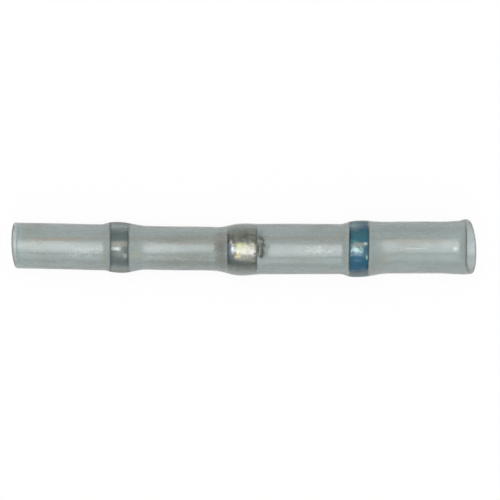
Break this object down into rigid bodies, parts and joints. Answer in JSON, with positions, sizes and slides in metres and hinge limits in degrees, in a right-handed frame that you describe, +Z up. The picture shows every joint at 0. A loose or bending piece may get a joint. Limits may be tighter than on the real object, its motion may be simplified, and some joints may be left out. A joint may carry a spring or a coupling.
{
  "type": "solder seal wire connector",
  "caption": "Translucent shrunk sleeve that grips a solder ring at its middle and a hot-melt seal ring towards each end, for joining stripped wires in line.",
  "frame": {"origin": "on the bore's axis, midway between the sleeve's two tips, which is the centre of the part's box", "axes": "+X along the bore towards the blue seal ring's end, +Z up as the part lies on its side, with the long sides of its cut ends lowest"},
  "size_m": [0.04, 0.0048, 0.0048],
  "materials": {
    "sleeve_plastic": "milky translucent plastic with a satin skin, lightly soiled",
    "grey_hot_melt": "smoky translucent hot-melt, smooth",
    "solder": "dull mottled solder under a thin pale yellow film of flux",
    "blue_hot_melt": "translucent blue hot-melt, smooth"
  },
  "bodies": {
    "root": {"shrink_sleeve": "sleeve_plastic", "grey_seal_ring": "grey_hot_melt", "solder_ring": "solder", "blue_seal_ring": "blue_hot_melt"}
  },
  "joints": []
}
